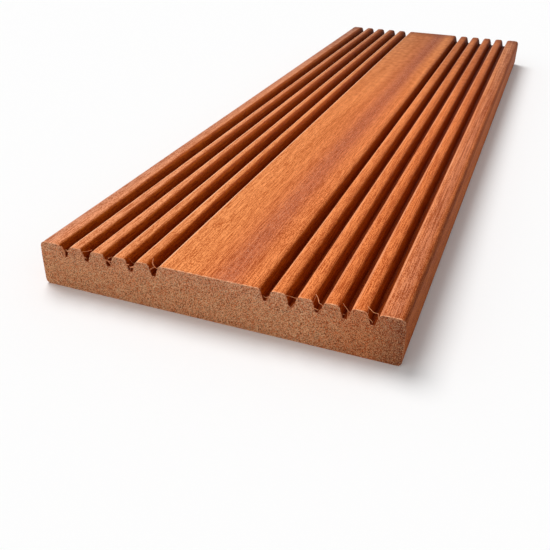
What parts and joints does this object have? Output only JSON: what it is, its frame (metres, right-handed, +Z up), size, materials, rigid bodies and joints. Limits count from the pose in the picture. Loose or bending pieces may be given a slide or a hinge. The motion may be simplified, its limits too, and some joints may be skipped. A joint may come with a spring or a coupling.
{
  "type": "hardwood decking board",
  "caption": "Flat hardwood decking board with a smooth band down the middle of its top, runs of milled drainage grooves on both sides of it, rounded long edges and square-cut ends.",
  "frame": {"origin": "middle of the underside, at the floor that the board lies on", "axes": "+Z up through the grooved top; Y along the board's length; X across its width"},
  "size_m": [0.145, 0.45, 0.019],
  "materials": {
    "hardwood": "satin"
  },
  "bodies": {
    "root": {"decking_board": "hardwood"}
  },
  "joints": []
}
